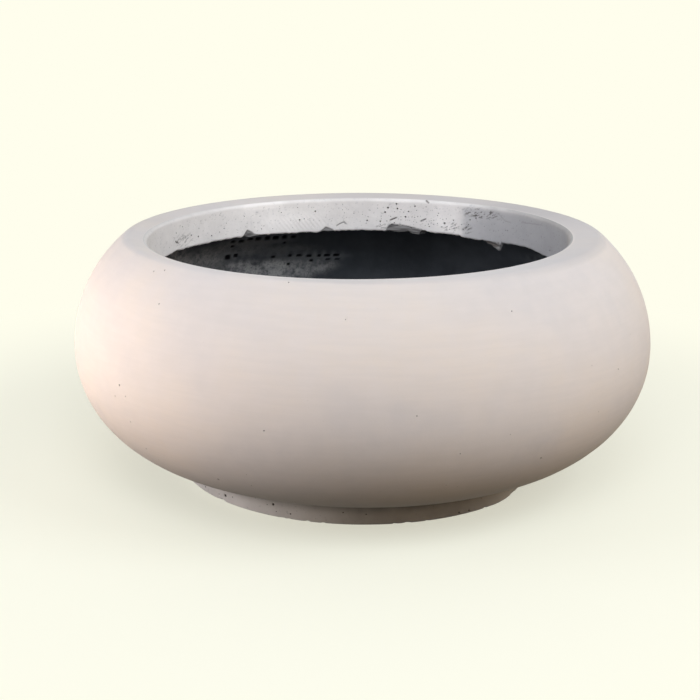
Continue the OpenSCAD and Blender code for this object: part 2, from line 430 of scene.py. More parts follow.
def gridPiece(name, points, body, node, material, traits, marks=(), reach=(0, 0), crease=40, seed=1):
    # A grid closed both ways, with its pits set in on the rows of reach, as one mesh; traits are values kept
    # on the points.
    count, rows = points.shape[:2]
    i, j = np.meshgrid(np.arange(count), np.arange(rows), indexing="ij")
    right, up = (i + 1) % count, (j + 1) % rows
    cells = np.stack([i * rows + j, right * rows + j, right * rows + up, i * rows + up], -1)
    kept, taken = freeBlocks(marks, reach, (count, rows))
    vertices, quads, fans = [points.reshape(-1, 3)], [cells[~taken]], [np.zeros((0, 3), int)]
    values = {key: [value.reshape(-1)] for key, value in traits.items()}
    if kept:
        extra, homes, dark, rings, tips = makePits(points, outward(points), kept, seed)
        vertices += extra
        quads += rings
        fans += tips
        for key in values:
            values[key].append(values[key][0][homes])
        # painted shade in each pit, ring by ring
        values["pit"] = [np.zeros(count * rows), dark]
    vertices, quads, fans = (np.concatenate(parts) for parts in (vertices, quads, fans))
    used = np.zeros(len(vertices), bool)
    used[quads] = True
    used[fans] = True
    renumber = np.cumsum(used) - 1
    quads, fans = renumber[quads], renumber[fans]
    mesh = bpy.data.meshes.new(name)
    mesh.vertices.add(int(used.sum()))
    mesh.vertices.foreach_set("co", vertices[used].astype(np.float32).ravel())
    mesh.loops.add(quads.size + fans.size)
    mesh.loops.foreach_set("vertex_index", np.concatenate([quads.ravel(), fans.ravel()]).astype(np.int32))
    mesh.polygons.add(len(quads) + len(fans))
    starts = np.concatenate([np.arange(len(quads)) * 4, quads.size + np.arange(len(fans)) * 3])
    mesh.polygons.foreach_set("loop_start", starts.astype(np.int32))
    mesh.update(calc_edges=True)
    for key, parts in values.items():
        layer = mesh.attributes.new(key, "FLOAT", "POINT")
        layer.data.foreach_set("value", np.concatenate(parts)[used].astype(np.float32))
    mesh.shade_smooth()
    mesh.set_sharp_from_angle(angle=math.radians(crease))
    mesh.materials.append(material)
    piece = added(name, mesh)
    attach(piece, body)
    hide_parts(node)
    print("%s: %d points, %d faces, %d pits" % (name, used.sum(), len(quads) + len(fans), len(kept)))


def pitMarks(profile, columns, levels, *groups):
    # Grid place, block size, width and depth of each pit. levels holds each row's level in mm; a group is
    # depth over width, and its pits by azimuth, level and width in mm. A block reaches 4/3 of the radius.
    marks = []
    for share, (azimuth, level, wide) in ((share, pit) for share, pits in groups for pit in pits):
        row = int(np.argmin(np.abs(levels - level)))
        cell = min(math.tau * profile[row, 0] / columns, np.linalg.norm(profile[row + 1] - profile[row]))
        half = max(1, math.ceil(wide * mm / cell / 1.5))
        marks.append((round(azimuth % 360 / 360 * columns), row, half, wide * mm, share * wide * mm))
    return marks


def byAzimuth(azimuth, table):
    # Each further column of the table at these azimuths, straight between its rows.
    at, *columns = np.array(table).T
    return [np.interp(azimuth, at, column, period=360) for column in columns]


# materials

concrete = {
    "face": srgb(221, 213, 209),     # mould face of the belly
    "faceWarm": srgb(222, 212, 204),
    "faceCool": srgb(212, 206, 204),
    "faceBand": srgb(208, 201, 197), # faint level bands from the mould
    "land": srgb(196, 190, 188),     # trowelled by hand, greyer
    "lipDark": srgb(112, 109, 108),
    "lipPale": srgb(247, 242, 238),  # where the trowel polished it
    "damp": srgb(150, 152, 158),     # painted shade on the lip's right side, and darker spots
    "torn": srgb(140, 138, 137),
    "tornDark": srgb(88, 86, 85),
    "smeared": srgb(46, 48, 52),     # black coat that ran onto the lip, and painted shade on its hanging flap
    # painted shade in pits, grooves, scratches and pinholes, and the colour of dark specks
    "pit": srgb(88, 82, 78),
    "grit": srgb(176, 168, 161),
    "foot": srgb(236, 229, 223),     # painted light: the foot's colour where it is lit
    "footShadeAndSpots": srgb(97, 95, 94),    # painted shade on the foot, and its dark spots
    "roughness": 0.86,
    "footRoughness": 0.9,
}


def makeFaceConcrete(c):
    paint, tree = newMaterial("faceConcrete", c["roughness"])
    warm = tinted(tree, between(tree, lumps(tree, 0.11, 1), 0.35, 0.65), c["faceCool"], c["faceWarm"])
    uneven = between(tree, lumps(tree, 0.012, 3), -0.2, 0.5)
    colour = painted(
        tree, warm, (between(tree, lumps(tree, 0.018, 2), 0.3, 0.7, 0.5), c["face"]),
        (between(tree, lumps(tree, 0.05, 7, 3, 12), 0.35, 0.65, 0.2), c["faceBand"]),
        (combine(tree, "MULTIPLY", "land", uneven), c["land"]),
        # grit specks, then painted shade in the pits
        (between(tree, specks(tree, 0.0032, 4), 0.16, 0.05, 0.25), c["grit"]), ("pit", c["pit"]))
    return finish(paint, colour, (0.0016, 5, 4, 0.00005), (0.012, 6, 3, 0.00015))


def makeLipConcrete(c):
    paint, tree = newMaterial("lipConcrete", c["roughness"])
    tone = tinted(tree, clouded(tree, "tone", 0.012, 11, 0.16), c["lipDark"], c["lipPale"])
    layers = tinted(tree, between(tree, "streak", -0.5, 0.6), c["tornDark"], c["torn"])
    colour = painted(
        # painted shade on the lip's right side at half strength, then random spots of the same grey
        tree, tone, (combine(tree, "MULTIPLY", "damp", 0.5), c["damp"]),
        (between(tree, lumps(tree, 0.004, 13), 0.58, 0.72, 0.22), c["damp"]), ("torn", layers),
        # black coat on the lip's edge, and painted shade on its flap
        ("smeared", c["smeared"]),
        # dark specks in the pits' colour, then painted shade in pits, grooves, scratches and pinholes
        (between(tree, specks(tree, 0.006, 14), 0.12, 0.06, 0.4), c["pit"]),
        (combine(tree, "MAXIMUM", "pit", "mark"), c["pit"]))
    return finish(paint, colour, (0.0012, 15, 5, 0.0001), (0.006, 16, 3, 0.0004))


def makeFootConcrete(c):
    paint, tree = newMaterial("footConcrete", c["footRoughness"])
    # painted light and shade on the foot, from its shaded colour to its lit one, with random clouds
    dry = tinted(tree, clouded(tree, "dry", 0.018, 21, 0.3), c["footShadeAndSpots"], c["foot"])
    spots = between(tree, lumps(tree, 0.003, 22), 0.6, 0.75, 0.3)
    # random dark spots, then painted shade in the pits
    colour = painted(tree, dry, (spots, c["footShadeAndSpots"]), ("pit", c["pit"]))
    return finish(paint, colour, (0.0015, 23, 5, 0.00015), (0.008, 24, 3, 0.0003))


lining = {
    "coat": srgb(66, 70, 76),
    "coatDeep": srgb(48, 52, 58),
    "dust": srgb(176, 173, 170),
    "thread": srgb(104, 106, 108),
    # near-black painted shade in the open squares of the mesh
    "hole": srgb(14, 14, 16),
    "roughness": 0.6,
}


def makeLining(c):
    paint, tree = newMaterial("sealCoat", c["roughness"])
    black = tinted(tree, between(tree, lumps(tree, 0.03, 31), 0.3, 0.7), c["coat"], c["coatDeep"])
    patchy = between(tree, lumps(tree, 0.009, 32, 8), 0.24, 0.62)
    grainy = between(tree, lumps(tree, 0.0022, 35, 4), 0.1, 0.6)
    film = combine(tree, "MULTIPLY", "dust", combine(tree, "MULTIPLY", patchy, grainy))
    # the open squares take near-black painted shade, and less shine
    colour = painted(tree, black, (film, c["dust"]), ("thread", c["thread"]), ("hole", c["hole"]))
    shine = tree.nodes["Principled BSDF"].inputs["Specular IOR Level"]
    tree.links.new(between(tree, "hole", 0.8, 0, 0.5), shine)
    return finish(paint, colour, (0.0015, 33, 5, 0.0002), (0.009, 34, 3, 0.0005))


def makePlain(name, roughness, light, dark, size, height):
    # Two shades in lumps, with fine relief: for the pieces that hardly show.
    paint, tree = newMaterial(name, roughness)
    colour = tinted(tree, between(tree, lumps(tree, size, 41), 0.3, 0.7), light, dark)
    return finish(paint, colour, (size / 6, 42, 4, height))


faceConcrete = makeFaceConcrete(concrete)
lipConcrete = makeLipConcrete(concrete)
footConcrete = makeFootConcrete(concrete)
sealCoat = makeLining(lining)
print("materials:", len(bpy.data.materials))


# half section of the bowl

bowl = {
    "radius": cadHigh.x,
    "height": cadHigh.z,
    "underside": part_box("foot_bed")[1].z,
    "bellyHeight": 136 * mm,   # widest line above the ground
    "landEnd": (245 * mm, 248.83 * mm),   # where the shoulder's arc would meet the land
    "edgeRadius": 12 * mm,     # land to shoulder
    "mouth": 218 * mm,         # radius inside the lip
    "mouthShift": -5 * mm,     # the mouth was trimmed off the axis, along x
    "mouthLean": 0.007,        # its rise along x, radians
    "sag": 1.1 * mm,           # how much lower the rim stands on its left
    "lipEdgeRadius": 4 * mm,   # land to lip
    "lipEdgeHeight": 241.9 * mm,   # centre of that rounding
    "lipRoot": 12 * mm,        # thickness of the lip where it leaves the land
    "coat": 4 * mm,            # face coat's thickness
    "drain": 13 * mm,
}


def aim(centre, point):
    # Direction from centre to point, in degrees.
    return math.degrees(math.atan2(point[1] - centre[1], point[0] - centre[0]))


def sectionOf(b):
    # Centres and radii of the arcs that make the outside: belly, shoulder, edge, lip edge. The land is the
    # straight line that touches the edge and lip-edge circles; toLand is the direction of its normal.
    under = b["bellyHeight"] - b["underside"]
    endX, endZ = b["landEnd"]
    shoulderRun = b["radius"] - endX
    shoulderRadius = (shoulderRun**2 + (endZ - b["bellyHeight"])**2) / (2 * shoulderRun)
    shoulder = (b["radius"] - shoulderRadius, b["bellyHeight"])
    edgeZ = b["height"] - b["edgeRadius"]
    edge = (shoulder[0] + math.sqrt((shoulderRadius - b["edgeRadius"])**2 - (edgeZ - shoulder[1])**2), edgeZ)
    lip = (b["mouth"] + b["lipEdgeRadius"], b["lipEdgeHeight"])
    aside = math.acos((b["edgeRadius"] - b["lipEdgeRadius"]) / math.dist(edge, lip))
    toLand = aim(edge, lip) - math.degrees(aside)
    return {
        "belly": ((b["radius"] - under, b["bellyHeight"]), under), "shoulder": (shoulder, shoulderRadius),
        "edge": (edge, b["edgeRadius"]), "lip": (lip, b["lipEdgeRadius"]),
        "toEdge": aim(shoulder, edge), "toLand": toLand,
    }


section = sectionOf(bowl)


def wallArcs(inset, counts, climb=True):
    # Belly, shoulder and rim edge arcs moved in by inset, from the underside up or from the rim down.
    s = section
    stops = (("belly", -90, 0), ("shoulder", 0, s["toEdge"]), ("edge", s["toEdge"], s["toLand"]))
    parts = [(s[name][0], s[name][1] - inset, start, stop) for name, start, stop in stops]
    if climb:
        return [arc(*part, count) for part, count in zip(parts, counts)]
    return [arc(c, r, stop, start, count) for (c, r, start, stop), count in zip(parts[::-1], counts)]


def onCircle(name, inset=0):
    # Point where the land's line, moved in by inset, touches the circle of this name.
    (x, z), radius = section[name]
    a = math.radians(section["toLand"])
    return x + (radius - inset) * math.cos(a), z + (radius - inset) * math.sin(a)


landStop = onCircle("lip")
rootX = bowl["mouth"] + bowl["lipRoot"]
underX, underZ = onCircle("edge", bowl["coat"])
lipRoot = (rootX, underZ + (rootX - underX) * math.tan(math.radians(section["toLand"] - 90)))


def trimmed(points, share, b):
    # Moves the mouth off the axis and leans it, by the share that each row of points takes part in it;
    # the rest of the rim sags on the left.
    x, y = points[..., 0], points[..., 1]
    left = np.minimum(x / np.hypot(x, y), 0)
    rim = smooth(points[..., 2], 0.75 * b["height"], b["height"]) * (1 - share)
    points[..., 2] += b["mouthLean"] * x * share + b["sag"] * left * rim
    points[..., 0] += b["mouthShift"] * share
    return points


# mould face: underside, belly, shoulder, land

skin = {
    "columns": 600,
    "wave": 0.5 * mm,          # depth of the broad unevenness
    "waveSize": 70 * mm,
    "pits": (                  # azimuth, height and width in mm
        (-136, 243, 1.8), (-136.8, 238.5, 1.5), (-132, 219, 1.4), (-138, 141, 2), (-140, 128, 1.6),
        (-136, 104, 1.8), (-135, 77, 2.2), (-118, 65, 2.4), (-111, 63, 1.2), (-106, 128, 1.6),
        (-72, 69, 1), (-56, 87, 2), (-98, 248, 1.4), (-105, 247, 1.4),
    ),
    "scattered": 46,           # more pits, placed at random
    "greyTo": 246.5 * mm,      # radius to which the land is grey
    "greyLean": 3.5 * mm,      # how much further it is on the right
    "greyWave": 0.8 * mm,
    "greyness": (              # azimuth, then how grey the trowel left the land
        (-180, 0.1), (-150, 0), (-122, 0), (-94, 0.6), (-66, 0.2), (-30, 0.6), (0, 0.4), (14, 0.6),
        (28, 1), (40, 1), (58, 0.3), (84, 0.5), (105, 0.25), (128, 0), (150, 0.15), (166, 0.35),
    ),
}


def makeSkin(s, b):
    # The half section turned about the axis and trimmed at the mouth, then pushed in along the normal by
    # clouds of waveSize and of a sixth of it. The land is grey inside a wavering circle, by its azimuth.
    under, coat = b["underside"], b["coat"]
    bellyX = section["belly"][0][0]
    outside = [run((b["drain"], under), (bellyX, under), 9), *wallArcs(0, (40, 30, 7)),
               run(onCircle("edge"), landStop, 9)]
    inside = [run(landStop, lipRoot, 1), run(lipRoot, onCircle("edge", coat), 2),
              *wallArcs(coat, (3, 8, 10), climb=False),
              run((bellyX, under + coat), (b["drain"], under + coat), 3),
              run((b["drain"], under + coat), (b["drain"], under), 1)]
    bellyFrom, shoulderFrom, edgeFrom, landFrom, landTo = np.cumsum([len(part) for part in outside])
    profile = np.concatenate(outside + inside)
    angles = np.arange(s["columns"]) * math.tau / s["columns"]
    rows = np.arange(len(profile))
    points = trimmed(turned(profile, angles), np.interp(rows, (landFrom, landTo, landTo + 1), (0, 1, 0)), b)
    uneven = smooth(rows, bellyFrom, bellyFrom + 5) * (1 - smooth(rows, edgeFrom - 6, edgeFrom + 6))
    push = (layered(points, s["waveSize"], 5) - 1) * s["wave"] / 2
    push = push + layered(points, s["waveSize"] / 6, 9) * s["wave"] / 8
    points = points + outward(points) * (np.minimum(push, 0) * uneven)[..., None]
    rng = np.random.default_rng(7)
    many = s["scattered"]
    scattered = zip(rng.uniform(0, 360, many), rng.uniform(40, 246, many), rng.gamma(2, 0.25, many) + 0.6)
    heights = profile[:landTo, 1] / mm
    marks = pitMarks(profile, s["columns"], heights, (0.9, s["pits"]), (0.8, scattered))
    border = s["greyTo"] + s["greyLean"] * np.cos(angles[:, None])
    border = border + s["greyWave"] * layered(points, 9 * mm, 6)
    grey, = byAzimuth(np.degrees(angles)[:, None], s["greyness"])
    land = grey * smooth(np.hypot(points[..., 0], points[..., 1]), border + 1.2 * mm, border - 1.2 * mm)
    land = land * (rows > shoulderFrom + 15) * (rows < landTo)
    gridPiece("mouldFace", points, "bowl", "bowl_shell", faceConcrete, {"land": land},
              marks, (bellyFrom + 3, landTo - 4), seed=11)


# trowelled lip

lipShape = {
    "columns": 1200,
    "depth": 44 * mm,            # below the top of the rim
    "tipThickness": 9 * mm,
    "tipRound": 2.5 * mm,
    "wave": 0.5 * mm,
    "waveSize": 34 * mm,
    "grain": 0.14 * mm,
    "tear": 0.8 * mm,            # fine raggedness of the lower edge
    "tornDepth": 0.8 * mm,       # how far a scraped patch lies back
    "streakHeight": 0.45 * mm,   # of the level streaks in it
    "combHeight": 0.4 * mm,
    "scratchHeight": 0.45 * mm,
    "pinDepth": 0.5 * mm,
    "strokeDepth": 0.6 * mm,
    "edge": (                # lower edge: azimuth, height in mm
        (0, 205.6), (11.1, 205.2), (19, 204.4), (23, 204.9), (26, 206.3), (30.5, 207), (33.5, 207.1),
        (38, 206.1), (40.8, 205.4), (41.1, 198), (42.2, 196.2), (45.4, 200.4), (48.7, 204.1), (53, 204.5),
        (56.2, 205.4), (56.8, 207), (63.5, 207), (69.6, 207.5), (70.4, 203.8), (72.9, 203.6), (74.2, 206.3),
        (76, 205.4), (78.5, 205), (81.5, 206.5), (90, 206.6), (96, 206.6), (99.5, 204.8), (101, 206),
        (104, 204.8), (105.5, 205.8), (110, 205.6), (114.5, 206.8), (118.5, 207.1), (121, 206.8),
        (123.5, 206), (126.5, 206.4), (128, 207.3), (131, 208.3), (138, 208.2), (147, 207.8), (155, 208.5),
        (157, 209.2), (160, 207.8), (165, 207.2), (180, 203.8), (205, 206), (232, 204.6), (262, 206),
        (290, 204.4), (318, 206.4), (342, 205),
    ),
    "backEdge": 204.5 * mm,      # behind its face the lip reaches no lower than this, so a flap stays thin
    "torn": (                # scraped patches down to the edge: azimuth and drop of their upper border
        ((119.6, 42), (122, 41), (123.8, 39.4), (125, 36.6), (126.2, 34), (126.9, 33.4), (127.6, 36),
         (128.4, 41)),
        ((97.4, 43.4), (98.5, 40), (100.4, 37), (101.2, 39.5), (102.6, 43.4)),
        ((67.1, 41.4), (70, 38.2), (72.5, 36.2), (75, 34.6), (79.5, 33.2), (80.5, 35.4), (81.3, 41.4)),
        ((40.6, 44.8), (44.2, 44.6), (48.5, 44), (50.1, 44.8)),
        ((200, 43), (204, 37), (209, 36.4), (212, 42)),
        ((263, 43), (268, 38), (271, 35.5), (274, 42.5)),
        ((326, 42), (329, 37.5), (336, 36.5), (340, 42.5)),
    ),
    "combs": (               # trowel ridges: azimuth, half-width, drop, half-height, pitch, lean to a mm
        (109, 12, 30.4, 13, 1.43, -0.21), (60.4, 5, 32, 12, 1.15, 0.2), (315, 10, 29, 12, 1.5, 0.2),
        (235, 11, 31, 11, 1.4, -0.2), (178, 8, 27, 12, 1.6, -0.2),
    ),
    "tone": (                # azimuth, then how pale the lip is near its top and near its edge; the low values on the right, from about -10 to 50 degrees, are painted shade
        (-10, 0.28, 0.24), (16.2, 0.27, 0.25), (36.7, 0.44, 0.4), (45, 0.52, 0.46), (51.6, 0.72, 0.66),
        (53.5, 0.76, 0.72), (57.3, 0.76, 0.86), (68.3, 0.8, 0.83), (88.9, 0.72, 0.8), (104.3, 0.81, 0.86),
        (117.7, 0.88, 0.98), (127.9, 0.88, 0.82), (140.3, 0.73, 0.75), (166.7, 0.7, 0.72),
        (220, 0.66, 0.66), (300, 0.66, 0.6),
    ),
    "smears": (              # paler smears: azimuth, half-width, drop, half-height, strength
        (120.8, 10, 6.2, 6, 0.22), (111.5, 13, 21.4, 12, 0.08), (62.1, 5, 21, 22, 0.1),
        (78.7, 12, 4, 5, 0.08), (60, 4, 14, 16, 0.12), (290, 16, 11, 10, 0.15), (210, 12, 19, 14, 0.12),
    ),
    "blackened": (           # black coat on the lip's edge, and painted shade on the flap that hangs there: azimuth, half-width, drop, half-height, strength
        (46.2, 5, 46.6, 4.4, 1.5), (41, 1, 47, 4, 0.6), (207, 4, 43.6, 3, 0.8),
    ),
    "strokes": (             # thin dark grooves: azimuth and drop of each point, then the width in mm
        ((97, 35.8), (96, 33.6), (94.6, 31.4), (94, 33.8), 0.8),
        ((42.4, 9.4), (40.8, 13.4), (39.3, 16.8), (37, 17.2), 0.3), ((79.9, 28.8), (78.1, 25.8), 1.4),
        ((70, 28.4), (68.4, 25.4), 1.1), ((68.5, 3.6), (67.6, 5.8), 1), ((158.1, 28.4), (157.3, 30.8), 1),
        ((157.2, 29.4), (156.5, 31.6), 1), ((32.4, 14.4), (21.7, 10.8), 0.28),
        ((48.5, 43.6), (44.8, 44.2), (41.5, 44.2), 0.8), ((46.6, 45.2), (44.6, 46.4), (42.8, 47.4), 3.4),
        ((82.8, 38.6), (74.5, 39.4), (67.8, 41.4), 0.6), ((128.3, 40), (126.9, 33.6), (125, 36.8), 0.6),
        ((101.6, 40.5), (100.4, 37.3), (98.2, 40.8), 0.6),
    ),
    "rough": (               # scratched bands: azimuth, half-width, drop, half-height, strength
        (49, 10, 12.5, 8, 1.3), (54.4, 3, 33, 8), (59.5, 4, 33, 8), (153.8, 7, 29.4, 10, 0.7),
        (325, 8, 13, 6), (260, 7, 33, 7), (81.7, 4, 36.8, 4, 0.8),
    ),
    "pits": (                # azimuth, drop and width in mm
        (143.9, 5.4, 1.9), (153.8, 14.6, 1.5), (157.5, 19.4, 1.5), (149.6, 27.6, 2.3), (146.5, 31.2, 2),
        (140.8, 34.8, 1.7), (135.7, 26.8, 1.5), (132.6, 3, 1.4), (123.8, 4.8, 1.5), (120.2, 7.8, 1.6),
        (103.8, 17.6, 2.1), (109, 27.4, 1.8), (107.4, 26.4, 1.6), (80.7, 14, 2.6), (81.7, 19.4, 2.4),
        (78.1, 9.4, 2.2), (77.1, 13, 1.7), (75, 24.4, 2.3), (71.9, 10.6, 2.1), (87.4, 29.8, 2.1),
        (62.1, 29.4, 2.4), (60.5, 7.6, 1.8), (59, 24, 1.8), (53.7, 27, 1.6), (19.3, 5.2, 1.6),
        (64.5, 30, 1.3), (63, 35, 1.6), (61.2, 33.4, 1.2), (58.6, 30, 1.5), (57.4, 34, 1.7),
        (56.2, 28.5, 1.2), (55.6, 33.6, 1.5), (54.4, 30.6, 1.3), (62.8, 24.4, 1.2), (65.8, 26, 1.3),
        (67.4, 31.6, 1.4), (58.4, 37.4, 1.3), (53.2, 21.4, 1.6), (52, 24.4, 1.5), (60.4, 38, 1.3),
        (16.3, 35.2, 2.1), (91.5, 21.8, 1.2), (95.1, 9.8, 1.1), (127.9, 16.2, 1.1), (137.2, 11, 1.1),
    ),
    "crowd": (58, 74, 97, 95),   # azimuths that hold most small pits: from, most at, to, then how many
    "scattered": 110,
    "pinholes": 700,
}


def makeLip(s, b):
    # The half section turned about the axis, its level free edge lifted to the edge table, then displaced
    # along the normal by all that adds to height: clouds, torn patches, comb ridges, scratches and grooves.
    centre, radius = section["lip"]
    low = b["height"] - s["depth"]
    mouth, tip, r = b["mouth"], b["mouth"] + s["tipThickness"], s["tipRound"]
    front = [arc(centre, radius, section["toLand"], 180, 6), run((mouth, centre[1]), (mouth, low + r), 36)]
    back = [arc((mouth + r, low + r), r, 180, 270, 4), run((mouth + r, low), (tip - r, low), 4),
            arc((tip - r, low + r), r, 270, 360, 3), run((tip, low + r), lipRoot, 8),
            run(lipRoot, landStop, 2)]
    profile = np.concatenate(front + back)
    faceRows = sum(len(part) for part in front)
    degrees = np.arange(s["columns"]) * 360 / s["columns"]
    points = turned(profile, np.radians(degrees))
    rows = np.arange(len(profile))

    # lower edge; the lift fades out from 4 to 16 mm up
    level, = byAzimuth(degrees, s["edge"])
    lift = level * mm - low + s["tear"] * layered(points[:, 0], 3 * mm, 51)
    behind = smooth(rows, faceRows + 4, faceRows + 5)
    lift = lift[:, None] * (1 - behind) + np.maximum(lift, s["backEdge"] - low)[:, None] * behind
    points[..., 2] += lift * (1 - smooth(points[..., 2], low + 4 * mm, low + 16 * mm))
    azimuth, drop = degrees[:, None], (b["height"] - points[..., 2]) / mm
    across = mouth / mm * math.pi / 180          # millimetres to a degree

    # torn patches: 1 below a ragged border, with level streaks
    height = s["wave"] * layered(points, s["waveSize"], 61) + s["grain"] * layered(points, 5 * mm, 62)
    ragged = 0.7 * layered(points, 4 * mm, 63)
    streaks = cloud(np.stack([azimuth * across / 5 + 0 * drop, drop, 0 * drop], -1), 1.6, 64)
    torn = 0 * drop
    for border in s["torn"]:
        at, level = np.array(border).T
        within = (azimuth >= at[0]) & (azimuth <= at[-1])
        torn = np.maximum(torn, within * smooth(drop + ragged - np.interp(azimuth, at, level), -0.5, 0.5))
    height = height - torn * (s["tornDepth"] - s["streakHeight"] * streaks)

    # comb ridges: crests (2 |phase - 1/2|)^2 in oval hills, the phase running across the strokes
    ridges = 0 * drop
    for at, half, level, tall, pitch, lean in s["combs"]:
        phase = (turnsFrom(azimuth, at) - lean * (drop - level) + 0.22 * layered(points, 14 * mm, 65)) / pitch
        ridges = ridges + hill(azimuth, drop, (at, half, level, tall)) * (2 * np.abs(phase % 1 - 0.5)) ** 2
    height = height + s["combHeight"] * ridges

    # grooves by the distance to each stroke's straight stretches, scratched bands, pinholes
    mark = 0 * drop
    for *stops, thick in s["strokes"]:
        for (a0, d0), (a1, d1) in zip(stops, stops[1:]):
            x, y = turnsFrom(azimuth, a0) * across, drop - d0
            ux, uy = (a1 - a0) * across, d1 - d0
            along = np.clip((x * ux + y * uy) / (ux**2 + uy**2), 0, 1)
            off = np.hypot(x - along * ux, y - along * uy)
            mark = np.maximum(mark, min(1, thick) * (1 - smooth(off, thick * 0.3, thick * 0.3 + 0.8)))
    band = hills(azimuth, drop, s["rough"])
    slant = np.stack([0.3 * azimuth * across + 0 * drop, 0.9 * drop - 0.35 * azimuth * across, 0 * drop], -1)
    scratch = layered(slant, 1.3, 66)
    mark = np.maximum(mark, 0.75 * band * smooth(scratch, 0.08, 0.4)) * (rows < faceRows + 6)
    rng = np.random.default_rng(21)
    pin = 0 * drop
    hole = rng.integers(0, s["columns"], s["pinholes"]), rng.integers(8, faceRows - 3, s["pinholes"])
    pin[hole] = rng.uniform(0.2, 1, s["pinholes"])
    height = height + s["scratchHeight"] * band * scratch - s["pinDepth"] * pin - s["strokeDepth"] * mark
    face = smooth(rows, 2, 8) * (1 - smooth(rows, faceRows + 9, faceRows + 13))
    points = points + outward(points) * (height * face)[..., None]
    stops = (faceRows + 4, faceRows + 8, len(profile) - 2, len(profile))
    points = trimmed(points, np.interp(rows, stops, (1, 0, 0, 1)), b)

    # tone by azimuth, blended from top to edge, with painted shade under the rim at the left, on the lip's
    # top rounding
    fall = smooth(drop, 10, 34)
    shift = azimuth + 1.2 * layered(points, 7 * mm, 67)
    top, edge = byAzimuth(shift, s["tone"])
    tone = top * (1 - fall) + edge * fall
    # the comb crests are paler by 0.1 of the tone: a painted highlight
    tone = tone + hills(azimuth, drop, s["smears"]) + 0.1 * ridges + 0.05 * layered(points, 16 * mm, 68)
    tone = tone - 0.14 * smooth(np.abs(turnsFrom(azimuth, 190)), 50, 30) * smooth(drop, 6, 2)
    # painted shade on the lip's right side, from about -16 to 57 degrees, below its top
    damp = smooth(shift, -16, 6) * (1 - smooth(shift, 54, 57.5)) * smooth(drop, 3, 11)

    drops = np.where(rows < faceRows, (b["height"] - profile[:, 1]) / mm, 1e3)
    first, most, last, many = s["crowd"]
    around = np.concatenate([rng.triangular(first, most, last, many), rng.uniform(0, 360, s["scattered"])])
    widths = rng.gamma(2, 0.22, len(around)) + 0.65
    scattered = zip(around, rng.triangular(7, 28, 41, len(around)), widths)
    marks = pitMarks(profile, s["columns"], drops, (0.9, s["pits"]), (0.8, scattered))
    traits = {"tone": tone, "torn": torn, "streak": streaks, "mark": np.maximum(mark, 0.5 * pin),
              "damp": damp, "smeared": np.minimum(1, hills(azimuth, drop, s["blackened"]))}
    gridPiece("trowelledLip", points, "bowl", "bowl_shell", lipConcrete, traits,
              marks, (6, faceRows), seed=12)


makeSkin(skin, bowl)
makeLip(lipShape, bowl)


# black lining with the print of the glass-fibre mesh

seal = {
    "inset": 13.7 * mm,        # inner face of the coat, in from the bowl's outside
    "thickness": 1 * mm,
    "top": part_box("seal_coat")[1].z,
    "fine": (33, 2),           # degrees on the shoulder's arc between which the rows lie close
    "collar": 9 * mm,          # floor round the drain hole that is kept level
    "wave": 0.35 * mm,
    "grain": 0.2 * mm,
    "meshTurns": 150,          # squares of the mesh round the bowl
    "meshColumns": 6,          # columns of points to each
    "meshFrom": 0.3,           # azimuth of the middle of a square, degrees
    "meshLevel": 190.8 * mm,   # height of the middle of the top row of squares
    "thread": 0.32,            # share of a square that the thread takes
    "threadHeight": 0.45 * mm,
    "openDepth": 0.7 * mm,     # of a square that the coat left open
    "deepest": 0.75 * mm,      # no point goes further in, so the coat's back stays whole
    "open": (                  # squares that the coat left open: azimuth, height, width and height in mm
        (125.1, 191, 5.5, 3), (122.7, 189.9, 7, 3), (120.2, 192, 6.5, 3), (118, 191.3, 7, 3.6),
        (115.4, 191.2, 6, 4.6), (113.1, 190.8, 7, 4), (110.7, 191.2, 5.5, 3.4), (108.3, 190.8, 5.5, 3),
        (125.9, 170.8, 7, 6.5), (123.6, 172, 5.5, 4.5), (113.2, 165, 5, 3.5), (108.8, 165.3, 4.5, 3.5),
        (106.4, 164.4, 7, 3), (103.8, 163.7, 6.5, 3.4), (101.2, 163.2, 4.5, 2.6), (99.1, 163.2, 7, 3.2),
        (96.7, 163.7, 7, 3.2), (109, 154, 4, 3), (103.2, 157, 5, 2.4), (98.9, 158, 6, 2.6),
        (96.5, 158, 5, 2.4), (125, 184.5, 5, 2.4), (110.5, 183, 3.5, 3),
    ),
    "printed": (               # where threads are felt: azimuth, half-width, height, half-height, strength
        (117, 14, 190, 12, 1), (125, 5, 173, 12, 0.9), (102, 11, 162, 11, 1), (111, 7, 172, 12, 0.5),
        (30, 20, 178, 14, 0.8), (300, 24, 190, 14, 1), (262, 13, 165, 14, 0.9), (190, 16, 183, 14, 1),
    ),
    "gaps": ((300, 20, 190, 9), (262, 11, 166, 9), (190, 13, 184, 9), (30, 14, 180, 8)),   # more open squares
    "dusty": (                 # pale dust: azimuth, half-width, height, half-height, strength
        (112, 17, 147, 20, 1), (122, 9, 150, 20, 1), (103, 9, 150, 13, 0.75), (133, 9, 168, 26, 0.6),
        (145, 12, 172, 30, 0.75), (124, 13, 180, 18, 0.3), (110, 12, 172, 12, 0.2), (320, 60, 120, 60, 0.5),
        (220, 50, 150, 60, 0.6),
    ),
}


